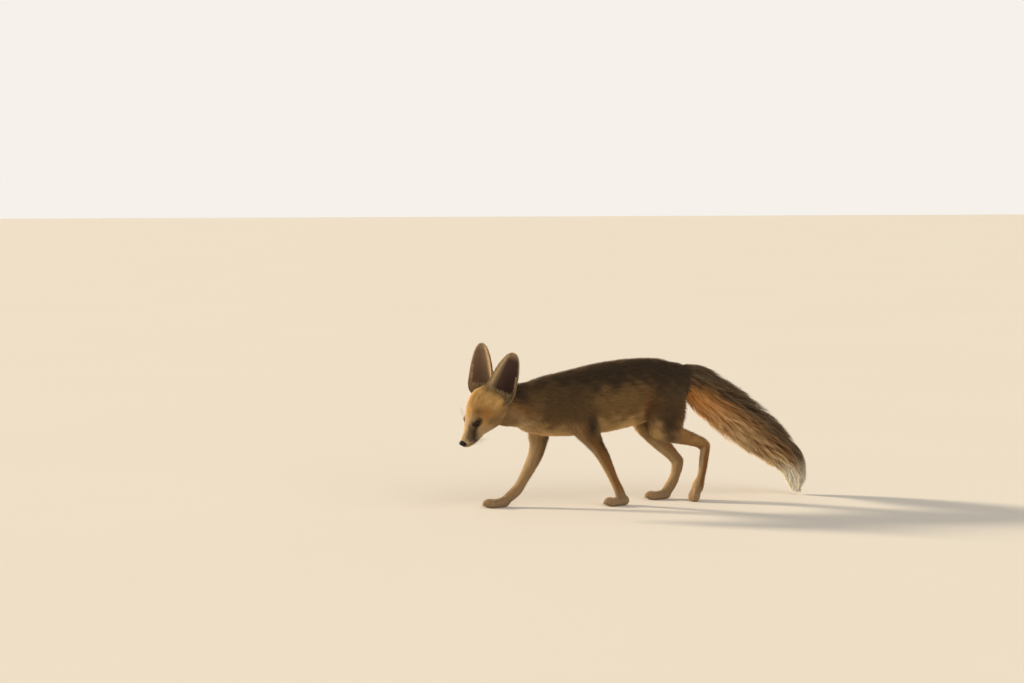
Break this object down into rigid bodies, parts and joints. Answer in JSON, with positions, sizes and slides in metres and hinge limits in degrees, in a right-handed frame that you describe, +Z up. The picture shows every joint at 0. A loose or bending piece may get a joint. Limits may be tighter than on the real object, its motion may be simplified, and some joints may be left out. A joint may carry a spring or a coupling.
{
  "type": "sand fox figure (Rüppell's fox, Vulpes rueppellii)",
  "caption": "Life-size still figure of a desert sand fox walking with its head low, large upright ears and a long bushy pale-tipped tail held off the ground.",
  "frame": {"origin": "centre of the whole figure's box, on the ground plane its paws stand on", "axes": "the fox faces -X, its tail points along +X, its left side is -Y, and +Z is up"},
  "size_m": [0.7006, 0.0996, 0.3025],
  "materials": {
    "coat": "short sandy fur",
    "pale_coat": "short cream fur",
    "tail_coat": "long brown and orange fur",
    "tip_coat": "long white fur",
    "nose": "damp black leather",
    "eye": "glossy"
  },
  "bodies": {
    "root": {"torso": "coat", "neck": "coat", "head": "coat", "lower_jaw": "pale_coat", "nose": "nose", "eye_left": "eye", "eye_right": "eye", "ear_left": "coat", "ear_right": "coat", "foreleg_left_upper": "coat", "foreleg_left_forearm": "coat", "foreleg_left_paw": "pale_coat", "foreleg_right_upper": "coat", "foreleg_right_forearm": "coat", "foreleg_right_paw": "pale_coat", "hindleg_left_thigh": "coat", "hindleg_left_shank": "coat", "hindleg_left_foot": "coat", "hindleg_left_paw": "pale_coat", "hindleg_right_thigh": "coat", "hindleg_right_shank": "coat", "hindleg_right_foot": "coat", "hindleg_right_paw": "pale_coat", "tail_base": "coat", "tail_brush": "tail_coat", "tail_tip": "tip_coat"}
  },
  "joints": []
}
